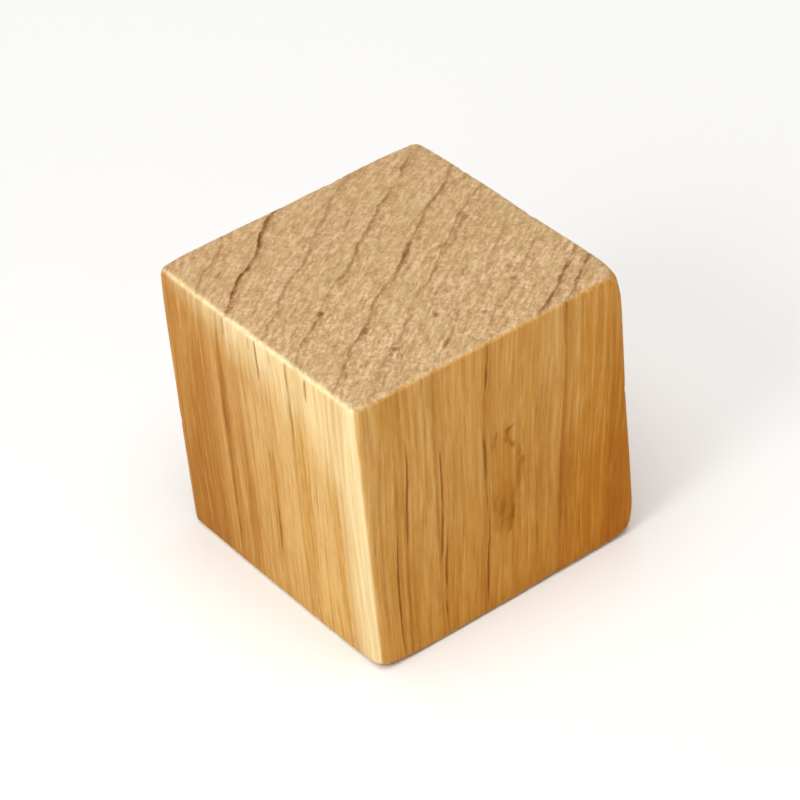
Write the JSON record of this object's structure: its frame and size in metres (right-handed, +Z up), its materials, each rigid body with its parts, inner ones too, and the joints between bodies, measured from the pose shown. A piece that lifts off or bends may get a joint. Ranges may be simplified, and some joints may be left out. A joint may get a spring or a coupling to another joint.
{
  "type": "wooden cube",
  "caption": "Solid pine cube with eased edges and rounded corners, end grain top and bottom, for stacking, building, packing out or spacing.",
  "frame": {"origin": "centre of the bottom face, on the surface that the cube rests on", "axes": "+Z up along the grain, so end grain is on top and bottom; +X and +Y along the other two edges; the grain's dark lines run about 35 degrees from +X in the end grain"},
  "size_m": [0.03, 0.03, 0.03],
  "materials": {
    "pine": "sanded, bare, satin"
  },
  "bodies": {
    "root": {"wooden_cube": "pine"}
  },
  "joints": []
}
